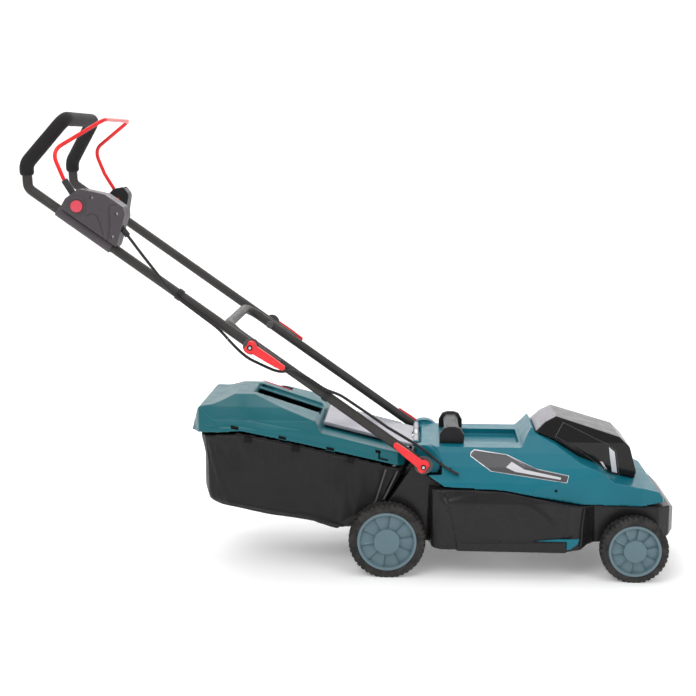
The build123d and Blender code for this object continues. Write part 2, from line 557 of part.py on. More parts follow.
# ---------------------------------------------------------------- cable
CABLE_R = 3.0
gland_a, gland_b = (-541, -184, 727), (-526, -186, 708)
gland = ring(gland_a, gland_b, 6, CABLE_R) - side_prism(shell, -196.2, -150, radius=6)
upper_run = [(-531, -185.3, 714.5), (-505, -188, 680), (-440, -188, 596), (-424, -184.6, 580), (-345, -184.6, 521), (-326, -184.6, 500)]
fold_run = [(-325.8, -184.6, 499.7), (-296, -184, 466), (-262, -174, 447), (-222, -168, 428), (-196, -167, 437), (-162, -165, 416)]
lower_run = [(-161.8, -165, 415.8), (-128, -164, 393), (-100, -154, 382), (-36, -150, 338), (-2, -150, 314)]
deck_run = [(-1.8, -150, 313.8), (36, -150, 292), (78, -152, 266), (118, -160, 232), (146, -167, 220)]
for name, points in (
    ("cable_upper", upper_run), ("cable_at_upper_fold", fold_run), ("cable_lower", lower_run), ("cable_at_deck", deck_run),
):
    nodes[name] = [bent(points, CABLE_R)]
clip_s = {"cable_upper": (604, 616, -HIGH_Y), "cable_lower": (240, 252, -LOW_Y)}
for name, (start, stop, y) in clip_s.items():
    clip = ring(line3(start, y), line3(stop, y), TUBE_R + 2.2, TUBE_R)
    nodes[name].append(clip - nodes[name][0])
nodes["cable_upper"].append(gland)

# ---------------------------------------------------------------- write out
for name, shape in nodes.items():
    solids = shape if isinstance(shape, list) else [shape]
    whole = Compound(children=[s for part in solids for s in part.solids()])
    export_step(Pos(CENTRE_SHIFT, 0, 0) * whole, f"parts/{name}.step")
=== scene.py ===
import json
import math

import bmesh
import bpy
import numpy as np
from mathutils import Matrix, Vector, noise
from mathutils.bvhtree import BVHTree

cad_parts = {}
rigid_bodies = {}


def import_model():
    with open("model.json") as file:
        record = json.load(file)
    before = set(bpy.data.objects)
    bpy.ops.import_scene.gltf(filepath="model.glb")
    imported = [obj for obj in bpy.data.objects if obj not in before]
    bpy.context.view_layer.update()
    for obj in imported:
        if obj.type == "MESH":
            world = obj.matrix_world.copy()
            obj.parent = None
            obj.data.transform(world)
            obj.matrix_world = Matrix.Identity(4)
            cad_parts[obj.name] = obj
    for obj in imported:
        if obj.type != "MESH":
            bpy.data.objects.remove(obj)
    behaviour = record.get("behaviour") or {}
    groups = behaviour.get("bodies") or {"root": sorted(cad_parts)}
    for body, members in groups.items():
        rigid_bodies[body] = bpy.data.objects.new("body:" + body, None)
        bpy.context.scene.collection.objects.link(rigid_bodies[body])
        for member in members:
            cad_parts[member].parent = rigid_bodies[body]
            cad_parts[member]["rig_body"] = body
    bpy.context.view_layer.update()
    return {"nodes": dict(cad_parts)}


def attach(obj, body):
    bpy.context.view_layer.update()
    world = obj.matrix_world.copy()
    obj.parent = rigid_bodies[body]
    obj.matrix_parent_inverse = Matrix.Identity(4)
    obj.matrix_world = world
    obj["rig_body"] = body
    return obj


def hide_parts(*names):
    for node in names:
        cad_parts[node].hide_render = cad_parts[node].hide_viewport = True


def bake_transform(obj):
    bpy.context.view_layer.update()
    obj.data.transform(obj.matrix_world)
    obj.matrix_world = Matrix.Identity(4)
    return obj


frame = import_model()
nodes = frame["nodes"]
scene = bpy.context.scene
scene.view_settings.view_transform = "Standard"

# The object is laid out in millimetres from the rear axle, +X forward and -Y towards the camera.
# SHIFT moves that to the frame of the row. The two pivots are those of the handle, in XZ.
SHIFT = 76.0
LOW_PIVOT = (73.7, 237.7)
HIGH_PIVOT = (-279.0, 484.7)
BAIL_PIVOT = (-625.0, 767.0)
WHEELS = (("rear", 0.0, 80.0), ("front", 508.0, 70.0))
SIDES = ((-1, "right"), (1, "left"))
SMOOTH_BELOW = math.radians(38)


def at(x, y, z):
    return Vector(((x + SHIFT) / 1000, y / 1000, z / 1000))


# ------------------------------------------------------------------ materials
class Nodes:
    """A small helper that adds shader nodes to one material."""

    def __init__(self, name):
        self.material = bpy.data.materials.new(name)
        self.material.use_nodes = True
        self.tree = self.material.node_tree
        self.shader = self.tree.nodes["Principled BSDF"]
        self.coord = self.add("ShaderNodeTexCoord").outputs["Object"]

    def add(self, kind, **settings):
        node = self.tree.nodes.new(kind)
        for key, value in settings.items():
            setattr(node, key, value)
        return node

    def link(self, a, b):
        self.tree.links.new(a, b)

    def noise(self, scale, detail=3.0, rough=0.55, stretch=None):
        node = self.add("ShaderNodeTexNoise")
        node.inputs["Scale"].default_value = scale
        node.inputs["Detail"].default_value = detail
        node.inputs["Roughness"].default_value = rough
        source = self.coord
        if stretch:
            mapping = self.add("ShaderNodeMapping")
            mapping.inputs["Scale"].default_value = stretch
            self.link(self.coord, mapping.inputs["Vector"])
            source = mapping.outputs["Vector"]
        self.link(source, node.inputs["Vector"])
        return node.outputs["Fac"]

    def spread(self, value, low, high, start=0.3, stop=0.7):
        node = self.add("ShaderNodeMapRange")
        node.inputs["From Min"].default_value = start
        node.inputs["From Max"].default_value = stop
        node.inputs["To Min"].default_value = low
        node.inputs["To Max"].default_value = high
        self.link(value, node.inputs["Value"])
        return node.outputs["Result"]

    def mix(self, factor, a, b):
        node = self.add("ShaderNodeMix", data_type="RGBA")
        for socket, value in ((node.inputs[0], factor), (node.inputs[6], a), (node.inputs[7], b)):
            if isinstance(value, bpy.types.NodeSocket):
                self.link(value, socket)
            else:
                socket.default_value = value if isinstance(value, float) else (*value, 1.0)
        return node.outputs[2]

    def bump(self, height, strength, distance, normal=None):
        node = self.add("ShaderNodeBump")
        node.inputs["Strength"].default_value = strength
        node.inputs["Distance"].default_value = distance
        self.link(height, node.inputs["Height"])
        if normal is not None:
            self.link(normal, node.inputs["Normal"])
        return node.outputs["Normal"]

    def edges(self, low=0.52, high=0.62):
        geometry = self.add("ShaderNodeNewGeometry")
        return self.spread(geometry.outputs["Pointiness"], 0.0, 1.0, low, high)

    def rounded(self, radius):
        node = self.add("ShaderNodeBevel", samples=4)
        node.inputs["Radius"].default_value = radius
        return node.outputs["Normal"]


def tint(colour, factor):
    return tuple(min(1.0, c * factor) for c in colour)


def plastic(name, colour, rough, grain=0.25, coat=0.0, bevel=0.0008, mottle=0.10, wear=0.12, level=0.3):
    """Moulded plastic: faint mottling, a fine spark-eroded grain, paler worn edges and rubbed patches."""
    n = Nodes(name)
    patches = n.spread(n.noise(9.0, 4.0), 0.0, 1.0)
    body = n.mix(patches, tint(colour, 1 - mottle), tint(colour, 1 + mottle))
    worn = tuple(c + (0.55 - c) * wear for c in colour)
    n.link(n.mix(n.edges(), body, worn), n.shader.inputs["Base Color"])
    n.link(n.spread(n.noise(38.0, 5.0), rough * 0.82, rough * 1.18), n.shader.inputs["Roughness"])
    n.link(n.bump(n.noise(1500.0, 2.0), grain, 0.00012, n.rounded(bevel)), n.shader.inputs["Normal"])
    n.shader.inputs["Specular IOR Level"].default_value = level
    n.shader.inputs["Coat Weight"].default_value = coat
    n.shader.inputs["Coat Roughness"].default_value = 0.08
    return n.material


def metal(name, colour, rough, stretch=(1.0, 1.0, 1.0), scratch=900.0):
    """Bare metal with fine drawn lines and a slight tarnish."""
    n = Nodes(name)
    dull = n.spread(n.noise(30.0, 5.0), 0.0, 1.0)
    n.link(n.mix(dull, tint(colour, 0.75), colour), n.shader.inputs["Base Color"])
    n.shader.inputs["Metallic"].default_value = 1.0
    lines = n.noise(scratch, 3.0, 0.6, stretch)
    n.link(n.spread(lines, rough * 0.7, rough * 1.4), n.shader.inputs["Roughness"])
    n.link(n.bump(lines, 0.12, 0.0001, n.rounded(0.0004)), n.shader.inputs["Normal"])
    return n.material


def painted(name, colour, rough, peel=0.18, chips=0.10):
    """Powder-coated tube: orange-peel bump, small dust and chips down to a paler grey."""
    n = Nodes(name)
    patches = n.spread(n.noise(14.0, 4.0), 0.0, 1.0)
    body = n.mix(patches, tint(colour, 0.85), tint(colour, 1.2))
    specks = n.spread(n.noise(420.0, 1.0), 0.0, chips, 0.70, 0.78)
    n.link(n.mix(specks, body, (0.35, 0.34, 0.33)), n.shader.inputs["Base Color"])
    n.link(n.spread(n.noise(70.0, 4.0), rough * 0.8, rough * 1.2), n.shader.inputs["Roughness"])
    n.link(n.bump(n.noise(700.0, 2.0), peel, 0.00015), n.shader.inputs["Normal"])
    n.shader.inputs["Coat Weight"].default_value = 0.04
    n.shader.inputs["Coat Roughness"].default_value = 0.25
    n.shader.inputs["Specular IOR Level"].default_value = 0.3
    return n.material


def rubber(name, colour, rough, dust=0.25):
    """Rubber with a dusty bloom in patches and a faint pebble."""
    n = Nodes(name)
    bloom = n.spread(n.noise(45.0, 6.0, 0.65), 0.0, dust, 0.4, 0.75)
    n.link(n.mix(bloom, colour, (0.16, 0.15, 0.14)), n.shader.inputs["Base Color"])
    n.link(n.spread(n.noise(60.0, 4.0), rough * 0.85, min(1.0, rough * 1.15)), n.shader.inputs["Roughness"])
    n.link(n.bump(n.noise(1300.0, 2.0), 0.3, 0.0002), n.shader.inputs["Normal"])
    n.shader.inputs["Specular IOR Level"].default_value = 0.25
    return n.material


def foam_material(name, colour):
    """Closed-cell foam: small open pores and a soft skin."""
    n = Nodes(name)
    cells = n.add("ShaderNodeTexVoronoi")
    cells.inputs["Scale"].default_value = 1100.0
    n.link(n.coord, cells.inputs["Vector"])
    pores = n.spread(cells.outputs["Distance"], 0.0, 1.0, 0.05, 0.6)
    n.link(n.mix(pores, tint(colour, 0.55), tint(colour, 1.3)), n.shader.inputs["Base Color"])
    n.link(n.spread(n.noise(25.0, 4.0), 0.78, 0.95), n.shader.inputs["Roughness"])
    soft = n.bump(n.noise(90.0, 4.0), 0.25, 0.0010)
    n.link(n.bump(pores, 0.45, 0.0003, soft), n.shader.inputs["Normal"])
    n.shader.inputs["Sheen Weight"].default_value = 0.08
    n.shader.inputs["Specular IOR Level"].default_value = 0.15
    n.shader.inputs["Sheen Roughness"].default_value = 0.5
    return n.material


def fabric(name, colour):
    """Coated woven polyester: two crossing thread waves, slubs and a dull sheen."""
    n = Nodes(name)
    threads = []
    for direction in ("X", "Z"):
        wave = n.add("ShaderNodeTexWave", wave_type="BANDS", bands_direction=direction)
        wave.inputs["Scale"].default_value = 190.0
        wave.inputs["Distortion"].default_value = 0.6
        wave.inputs["Detail"].default_value = 1.0
        n.link(n.coord, wave.inputs["Vector"])
        threads.append(wave.outputs["Fac"])
    weave = n.add("ShaderNodeMath", operation="MULTIPLY")
    n.link(threads[0], weave.inputs[0])
    n.link(threads[1], weave.inputs[1])
    slub = n.spread(n.noise(120.0, 4.0, 0.6, (1.0, 1.0, 3.0)), 0.0, 1.0)
    body = n.mix(slub, tint(colour, 0.8), tint(colour, 1.5))
    n.link(n.mix(weave.outputs[0], tint(colour, 0.7), body), n.shader.inputs["Base Color"])
    n.link(n.spread(n.noise(20.0, 4.0), 0.48, 0.66), n.shader.inputs["Roughness"])
    creases = n.bump(n.noise(26.0, 5.0, 0.6, (1.0, 1.0, 0.5)), 0.35, 0.004)
    n.link(n.bump(weave.outputs[0], 0.35, 0.0003, creases), n.shader.inputs["Normal"])
    n.shader.inputs["Sheen Weight"].default_value = 0.06
    n.shader.inputs["Sheen Roughness"].default_value = 0.4
    n.shader.inputs["Specular IOR Level"].default_value = 0.3
    return n.material


def frosted(name, colour, rough, transmission):
    """Semi-clear plastic: cloudy patches, light moulding flow marks."""
    n = Nodes(name)
    cloud = n.spread(n.noise(16.0, 5.0), 0.0, 1.0)
    n.link(n.mix(cloud, tint(colour, 0.86), tint(colour, 1.1)), n.shader.inputs["Base Color"])
    n.link(n.spread(n.noise(50.0, 4.0), rough * 0.8, rough * 1.2), n.shader.inputs["Roughness"])
    flow = n.noise(260.0, 3.0, 0.5, (1.0, 4.0, 1.0))
    n.link(n.bump(flow, 0.08, 0.0004, n.rounded(0.0006)), n.shader.inputs["Normal"])
    n.shader.inputs["Transmission Weight"].default_value = transmission
    n.shader.inputs["IOR"].default_value = 1.46
    n.shader.inputs["Coat Weight"].default_value = 0.3
    n.shader.inputs["Coat Roughness"].default_value = 0.12
    return n.material


TEAL = plastic(
    "teal_plastic", (0.0015, 0.128, 0.176), 0.36,
    grain=0.18, coat=0.05, mottle=0.05, wear=0.04, bevel=0.0012, level=0.25,
)
LID_TEAL = plastic(
    "teal_box_plastic", (0.0015, 0.105, 0.128), 0.38,
    grain=0.25, coat=0.05, mottle=0.07, wear=0.05, bevel=0.0012, level=0.28,
)
BLACK = plastic(
    "black_plastic", (0.013, 0.012, 0.013), 0.40,
    grain=0.4, mottle=0.2, wear=0.04, bevel=0.001, level=0.22,
)
GLOSS_BLACK = plastic(
    "deck_plastic", (0.011, 0.010, 0.011), 0.30,
    grain=0.10, coat=0.05, mottle=0.2, wear=0.02, bevel=0.0012, level=0.25,
)
PALE_PLATE = plastic(
    "badge_pale", (0.50, 0.50, 0.52), 0.30,
    grain=0.1, coat=0.3, mottle=0.12, wear=0.05, bevel=0.0003,
)
# near-black with almost no specular: the real black of the bag clips, and painted shade standing in for
# holes, slots, a gap and the box lid's grip recess
CLIP_BLACK_AND_SHADE = plastic(
    "clip_black_and_painted_shade", (0.004, 0.004, 0.005), 0.55,
    grain=0.4, mottle=0.2, wear=0.01, bevel=0.0005, level=0.08,
)
SWITCH = plastic(
    "switch_plastic", (0.062, 0.054, 0.060), 0.45,
    grain=0.35, mottle=0.1, wear=0.08, bevel=0.001, level=0.25,
)
SMOKED = plastic(
    "smoked_plastic", (0.006, 0.005, 0.005), 0.14,
    grain=0.02, coat=0.12, mottle=0.15, wear=0.03, bevel=0.0015, level=0.25,
)
SMOKED_TOP = plastic(
    "smoked_top_plastic", (0.050, 0.047, 0.050), 0.3,
    grain=0.02, coat=0.08, mottle=0.30, wear=0.06, bevel=0.0012, level=0.35,
)
WINDOW = plastic(
    "lid_window_plastic", (0.004, 0.003, 0.003), 0.09,
    grain=0.01, coat=0.25, mottle=0.2, wear=0.0, bevel=0.0005, level=0.25,
)
GREY = plastic(
    "wheel_plastic", (0.098, 0.158, 0.184), 0.38,
    grain=0.2, coat=0.05, mottle=0.06, wear=0.12, bevel=0.0007, level=0.3,
)
RED = plastic(
    "red_plastic", (0.76, 0.028, 0.034), 0.38,
    grain=0.1, coat=0.1, mottle=0.06, wear=0.08, bevel=0.001, level=0.3,
)
BUTTON = plastic(
    "button_plastic", (0.62, 0.012, 0.045), 0.30,
    grain=0.05, coat=0.3, mottle=0.06, wear=0.12, bevel=0.001,
)
PLATE = plastic(
    "badge_plate", (0.055, 0.055, 0.060), 0.30,
    grain=0.1, coat=0.4, mottle=0.1, wear=0.05, bevel=0.0004,
)
SILVER = metal("silver_trim", (0.62, 0.62, 0.64), 0.28)
FLAP = frosted("flap_plastic", (0.30, 0.29, 0.34), 0.36, 0.08)
SMOKED_BACK = plastic(
    "smoked_back_plastic", (0.17, 0.16, 0.19), 0.3,
    grain=0.02, coat=0.1, mottle=0.15, wear=0.06, bevel=0.0012,
)
PINK = plastic(
    "indicator_plastic", (0.58, 0.06, 0.10), 0.25,
    grain=0.05, coat=0.3, mottle=0.12, wear=0.1, bevel=0.0006,
)
DARK_METAL = plastic(
    "black_zinc", (0.016, 0.015, 0.015), 0.35,
    grain=0.15, mottle=0.2, wear=0.12, bevel=0.0006,
)
PALE = frosted("battery_pale_plastic", (0.62, 0.62, 0.66), 0.22, 0.0)
TUBE = painted("tube_paint", (0.030, 0.027, 0.026), 0.46)
ROD = painted("rod_paint", (0.66, 0.014, 0.014), 0.22, peel=0.05, chips=0.02)
STEEL = metal("zinc_steel", (0.60, 0.60, 0.61), 0.32)
ALU = metal("cast_alu", (0.62, 0.62, 0.63), 0.45, scratch=400.0)
COPPER = metal("wound_copper", (0.62, 0.27, 0.14), 0.35, (1.0, 1.0, 8.0), 1400.0)
TYRE = rubber("tyre_rubber", (0.013, 0.012, 0.012), 0.62)
CABLE = rubber("cable_rubber", (0.014, 0.014, 0.015), 0.48, dust=0.06)
FOAM = foam_material("foam_skin", (0.014, 0.013, 0.014))
CLOTH = fabric("bag_weave", (0.010, 0.0095, 0.010))
HEM = fabric("hem_weave", (0.020, 0.019, 0.020))
BOARD = plastic("circuit_board", (0.010, 0.13, 0.05), 0.4, grain=0.5, mottle=0.25, wear=0.1)

# the material of each CAD node; wheels are found by name and every other node is red
LOOKS = (
    (BLACK, "deck carry_handle battery_tray battery_pack_left battery_pack_right"),
    (BLACK, "microswitch bail_bracket bail_sleeve"),
    (TEAL, "lawn_combs top_cover"),
    (LID_TEAL, "grass_box_lid"),
    (BOARD, "controller_board"),
    (ALU, "motor_can blade_adapter"),
    (COPPER, "motor_stator"),
    (STEEL, "motor_bearings hinge_pins flap_spring axles axle_nuts rotor_shaft rotor_magnets"),
    (STEEL, "blade blade_bolt switch_box_screws button_spring"),
    (DARK_METAL, "lower_clamp_bolts upper_clamp_bolts bag_wires"),
    (CABLE, "cable_at_deck cable_lower cable_at_upper_fold cable_upper"),
    (SMOKED, "battery_lid"),
    (FLAP, "rear_flap"),
    (CLOTH, "grass_bag"),
    (CLIP_BLACK_AND_SHADE, "bag_clips"),
    (PINK, "level_window_frame level_indicator"),
    (TUBE, "lower_handle_tube upper_handle_tube"),
    (FOAM, "foam_grip"),
    (SWITCH, "switch_box_outer switch_box_inner"),
    (ROD, "bail_rod"),
    (BUTTON, "lock_button"),
)
look_of = {name: look for look, names in LOOKS for name in names.split()}
for name, obj in nodes.items():
    look = look_of.get(name)
    if look is None:
        look = TYRE if name.startswith("tyre") else GREY if name.startswith("wheel_rim") else RED
    obj.data.materials.clear()
    obj.data.materials.append(look)


# ------------------------------------------------------------------ building helpers
def placed(name, data):
    """A new object in the scene that holds this mesh, curve or light."""
    obj = bpy.data.objects.new(name, data)
    scene.collection.objects.link(obj)
    return obj


def result(obj):
    """The mesh that an object's modifiers give."""
    return bpy.data.meshes.new_from_object(obj.evaluated_get(bpy.context.evaluated_depsgraph_get()))


def baked(obj):
    """The mesh that an object's modifiers give; the object itself is removed."""
    mesh = result(obj)
    bpy.data.objects.remove(obj)
    return mesh


def put(name, mesh, body, material, replaces=()):
    """Adds a finished piece: its material, body and the CAD nodes it stands for."""
    obj = placed(name, mesh)
    mesh.materials.clear()
    mesh.materials.append(material)
    mesh.polygons.foreach_set("use_smooth", [True] * len(mesh.polygons))
    mesh.set_sharp_from_angle(angle=SMOOTH_BELOW)
    if replaces:
        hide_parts(*replaces)
    if body:
        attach(obj, body)
    return obj


def cleaned(mesh, solid=0.0, subdivide=0):
    """Merges doubles, turns faces outward, then applies thickness and subdivision."""
    bm = bmesh.new()
    bm.from_mesh(mesh)
    bmesh.ops.remove_doubles(bm, verts=bm.verts, dist=1e-6)
    bmesh.ops.recalc_face_normals(bm, faces=bm.faces)
    bm.to_mesh(mesh)
    bm.free()
    holder = placed("holder", mesh)
    if solid:
        thick = holder.modifiers.new("solid", "SOLIDIFY")
        thick.thickness, thick.offset = solid, -1.0
    if subdivide:
        sub = holder.modifiers.new("sub", "SUBSURF")
        sub.levels = sub.render_levels = subdivide
    return baked(holder)


def mirrored(mesh):
    copy = mesh.copy()
    copy.transform(Matrix.Scale(-1, 4, (0, 1, 0)))
    copy.flip_normals()
    return copy


def sheet_of(rows, close_rows=False, close_columns=False):
    """Quads over a grid of points."""
    tall, wide = len(rows), len(rows[0])
    points = [p for row in rows for p in row]
    faces = []
    for i in range(tall if close_rows else tall - 1):
        for j in range(wide if close_columns else wide - 1):
            a, b = i * wide + j, i * wide + (j + 1) % wide
            c, d = ((i + 1) % tall) * wide + (j + 1) % wide, ((i + 1) % tall) * wide + j
            faces.append([a, b, c, d])
    mesh = bpy.data.meshes.new("sheet")
    mesh.from_pydata([tuple(p) for p in points], [], faces)
    mesh.update()
    return mesh


def sweep(path, radii, sides=20):
    """Capped round rod along points in metres, with a radius for each point."""
    path = [Vector(p) for p in path]
    tangents = []
    for i in range(len(path)):
        tangents.append((path[min(i + 1, len(path) - 1)] - path[max(i - 1, 0)]).normalized())
    side = tangents[0].orthogonal().normalized()
    rows = []
    for point, tangent, radius in zip(path, tangents, radii):
        side = (side - tangent * side.dot(tangent)).normalized()
        other = tangent.cross(side)
        turn = [2 * math.pi * k / sides for k in range(sides)]
        rows.append([point + radius * (math.cos(t) * side + math.sin(t) * other) for t in turn])
    mesh = sheet_of(rows, close_columns=True)
    bm = bmesh.new()
    bm.from_mesh(mesh)
    bm.verts.ensure_lookup_table()
    bm.faces.new([bm.verts[k] for k in range(sides)][::-1])
    bm.faces.new([bm.verts[(len(rows) - 1) * sides + k] for k in range(sides)])
    bm.to_mesh(mesh)
    bm.free()
    return mesh


def nurbs_line(points):
    """Points along the smooth spline that has these control points."""
    curve = bpy.data.curves.new("route", "CURVE")
    curve.dimensions = "3D"
    curve.resolution_u = 12
    spline = curve.splines.new("NURBS")
    spline.points.add(len(points) - 1)
    for target, point in zip(spline.points, points):
        target.co = (*at(*point), 1.0)
    spline.order_u = 3
    spline.use_endpoint_u = True
    holder = placed("route", curve)
    line = bpy.data.meshes.new_from_object(holder)
    found = [v.co.copy() for v in line.vertices]
    bpy.data.objects.remove(holder)
    return found


def relax(points, edges, rounds):
    """Smooths a mesh without shrinking it."""
    count = np.zeros(len(points))
    np.add.at(count, edges[:, 0], 1)
    np.add.at(count, edges[:, 1], 1)
    count = np.maximum(count, 1)[:, None]
    for _ in range(rounds):
        for weight in (0.55, -0.57):
            mean = np.zeros_like(points)
            np.add.at(mean, edges[:, 0], points[edges[:, 1]])
            np.add.at(mean, edges[:, 1], points[edges[:, 0]])
            points = points + weight * (mean / count - points)
    return points


def softened(node, material, voxel, rounds, keep, reshape=None):
    """A copy of a moulded CAD node with rounded edges, which stands for it.

    voxel is the remeshing size in metres, rounds the smoothing passes, keep the share of faces kept.
    """
    mesh = nodes[node].data.copy()
    bm = bmesh.new()
    bm.from_mesh(mesh)
    bmesh.ops.remove_doubles(bm, verts=bm.verts, dist=2e-6)
    bm.to_mesh(mesh)
    bm.free()
    holder = placed("holder", mesh)
    voxels = holder.modifiers.new("voxels", "REMESH")
    voxels.mode, voxels.voxel_size = "VOXEL", voxel
    mesh = result(holder)
    points = np.zeros(len(mesh.vertices) * 3)
    mesh.vertices.foreach_get("co", points)
    edges = np.zeros(len(mesh.edges) * 2, dtype=np.int64)
    mesh.edges.foreach_get("vertices", edges)
    points = relax(points.reshape(-1, 3), edges.reshape(-1, 2), rounds)
    if reshape:
        points = reshape(points)
    mesh.vertices.foreach_set("co", points.ravel())
    mesh.update()
    holder.modifiers.clear()
    holder.data = mesh
    thin = holder.modifiers.new("thin", "DECIMATE")
    thin.ratio = keep
    return put(f"{node}_look", baked(holder), nodes[node]["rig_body"], material, (node,))


# ------------------------------------------------------------------ wheels
def tyre_mesh(x, r):
    """Rounded tyre with two staggered rows of lugs.

    Its profile is radius, y and zone: 0 plain, 1 inner lugs, 2 the groove between, 3 outer lugs.
    """
    seat = r * 0.775
    around = 264
    lugs = 44 if r > 75 else 40
    profile = [
        (seat, 153.0, 0), (seat + 1.5, 152.6, 0), (seat + 5, 153.5, 0),
        (r - 9, 153.0, 0), (r - 5.5, 153.4, 0),
        (r - 3.0, 154.6, 1), (r - 0.8, 157.5, 1), (r - 0.2, 161.0, 1),
        (r, 166.0, 1), (r, 169.6, 1), (r, 170.2, 2),
        (r, 171.8, 2), (r, 172.4, 3), (r, 176.0, 3),
        (r - 0.2, 181.0, 3), (r - 0.8, 184.5, 3), (r - 3.0, 187.4, 3),
        (r - 5.5, 188.6, 0), (r - 9, 189.0, 0), (seat + 5, 188.5, 0),
        (seat + 1.5, 189.2, 0), (seat, 189.0, 0),
    ]
    rows = []
    for radius, y, zone in profile:
        row = []
        for k in range(around):
            share = k / around * lugs
            if zone == 3:
                share += 0.5
            share += 0.012 * abs(y - 171)
            phase = share % 1.0
            dip = 0.0
            if zone in (1, 3):
                dip = 2.3 * min(1.0, max(0.0, (0.36 - abs(phase - 0.18) * 2) / 0.10))
            if zone == 2:
                dip = 2.6
            rr = radius - dip
            turn = 2 * math.pi * k / around
            row.append(at(x + rr * math.cos(turn), y, r + rr * math.sin(turn)))
        rows.append(row)
    return sheet_of(rows, close_rows=True, close_columns=True)


def rim_mesh(x, r):
    """Outer flange, ten tilted facets (zone 1) between thin ribs, and a flat hub disc."""
    seat = r * 0.775
    hub = r * 0.335
    around = 240
    facets = 10
    stations = [
        (0.0, 190.6, 0), (hub - 2.5, 190.6, 0), (hub - 0.8, 190.2, 0),
        (hub, 189.2, 0), (hub + 0.4, 185.0, 0),
        (hub + 1.2, 182.6, 1), (hub + (seat - hub) * 0.45, 182.2, 1),
        (seat - 8.5, 181.6, 1), (seat - 7.6, 183.6, 0),
        (seat - 6.6, 187.6, 0), (seat - 5.6, 188.8, 0), (seat - 2.2, 189.4, 0), (seat - 0.8, 189.0, 0),
        (seat - 0.2, 187.8, 0), (seat - 0.2, 154.5, 0), (seat - 4.5, 154.2, 0), (seat - 6.5, 170.0, 0),
        (18.0, 172.0, 0), (15.0, 153.0, 0), (6.4, 152.6, 0),
    ]
    rows = []
    for radius, y, zone in stations:
        row = []
        for k in range(around):
            share = (k / around * facets) % 1.0
            depth = y
            if zone:
                rib = min(1.0, max(0.0, (0.06 - min(share, 1 - share)) / 0.025))
                depth = y + (share - 0.5) * 4.6 + rib * (185.4 - y - (share - 0.5) * 4.6)
            turn = 2 * math.pi * k / around + 0.16
            row.append(at(x + radius * math.cos(turn), depth, r + radius * math.sin(turn)))
        rows.append(row)
    return sheet_of(rows, close_columns=True)


WHEEL_PIECES = (("tyre", tyre_mesh, TYRE, "tyre_black"), ("wheel_rim", rim_mesh, GREY, "grey_wheel"))
for place, x, r in WHEELS:
    for side in ("left", "right"):
        for kind, build, look, slot in WHEEL_PIECES:
            mesh = cleaned(build(x, r))
            if side == "right":
                mesh = mirrored(mesh)
            node = f"{kind}_{place}_{side}"
            put(f"{node}_look", mesh, f"wheel_{place}_{side}", look, (node,))

# ------------------------------------------------------------------ moulded shells
def nearest(points, route):
    """Distance in the XZ plane from each point to a line through the route's points (millimetres)."""
    flat = points[:, [0, 2]]
    best = np.full(len(points), 9.0)
    for (x0, z0), (x1, z1) in zip(route, route[1:]):
        a = np.array([(x0 + SHIFT) / 1000, z0 / 1000])
        b = np.array([(x1 + SHIFT) / 1000, z1 / 1000])
        share = np.clip((flat - a) @ (b - a) / ((b - a) @ (b - a)), 0, 1)
        best = np.minimum(best, np.linalg.norm(flat - a - share[:, None] * (b - a), axis=1))
    return best


def groove(points, route, width, depth, y_from):
    """Presses a soft groove into the two outer side faces along a route."""
    near = nearest(points, route)
    press = np.clip(1 - near / (width / 1000), 0, 1)
    press = press * press * (3 - 2 * press) * depth / 1000
    side = np.abs(points[:, 1]) > y_from / 1000
    points[:, 1] -= np.sign(points[:, 1]) * press * side
    return points


def deck_shape(points):
    """The swollen chamber side with its rounded front end, and the seam behind it."""
    x, y, z = points[:, 0] * 1000 - SHIFT, points[:, 1] * 1000, points[:, 2] * 1000
    ellipse = np.sqrt(((x - 205) / 158) ** 2 + ((z - 78) / 112) ** 2)
    inside = np.clip((1.0 - ellipse) / 0.10, 0, 1)
    inside = inside * inside * (3 - 2 * inside)
    crown = np.clip(1 - ((z - 118) / 60) ** 2, 0, 1)
    side = (np.abs(y) > 150) & (np.abs(y) < 185) & (z > 72) & (z < 192) & (x > 118) & (x < 372)
    points[:, 1] += np.sign(y) * side * (inside * 1.6 + inside * crown * 1.4 - 1.4) / 1000
    points = groove(points, [(116, 190), (126, 160), (136, 112), (143, 74)], 3.4, 2.4, 140)
    return groove(points, [(404, 150), (400, 112), (398, 74)], 3.0, 1.6, 130)


# direction down the handle tube in XZ
TUBE_WAY = (0.8191, -0.5736)
SWITCH_CREASES = [
    [(-608, 748), (-598, 752), (-588, 749), (-582, 734), (-577, 717), (-574, 702)],
    [(-549, 770), (-560, 768), (-563, 761), (-561, 740), (-562, 720), (-567, 696)],
]


def switch_shape(points):
    """Curved creases moulded into the box's outer face."""
    for route in SWITCH_CREASES:
        points = groove(points, route, 3.4, 2.4, 185)
    return points


def bracket_shape(points):
    """The far bracket ends shortly below the rod's pivot."""
    x, z = points[:, 0] * 1000 - SHIFT, points[:, 2] * 1000
    along = (x - BAIL_PIVOT[0]) * TUBE_WAY[0] + (z - BAIL_PIVOT[1]) * TUBE_WAY[1]
    back = np.maximum(along - 10, 0) * 0.55 / 1000
    points[:, 0] -= back * TUBE_WAY[0]
    points[:, 2] -= back * TUBE_WAY[1]
    return points


def lid_shape(points):
    """The grass box lid's full rear shoulder, and the raised rim along its lower edge."""
    x, z = points[:, 0] * 1000 - SHIFT, points[:, 2] * 1000
    high = np.clip((z - 300) / 34, 0, 1)
    swell = np.exp(-(((x + 402) / 26) ** 2)) * high * high * (3 - 2 * high)
    points[:, 2] += 11 * swell / 1000
    tip = np.clip((-402 - x) / 16, 0, 1) * np.clip((z - 286) / 20, 0, 1)
    points[:, 0] += 5 * tip / 1000
    points = groove(points, [(-418, 305), (-308, 310), (-184, 287), (28, 241)], 2.6, 1.0, 138)
    return groove(points, [(-392, 322), (-318, 326), (-190, 306), (-140, 295)], 2.2, 0.8, 130)


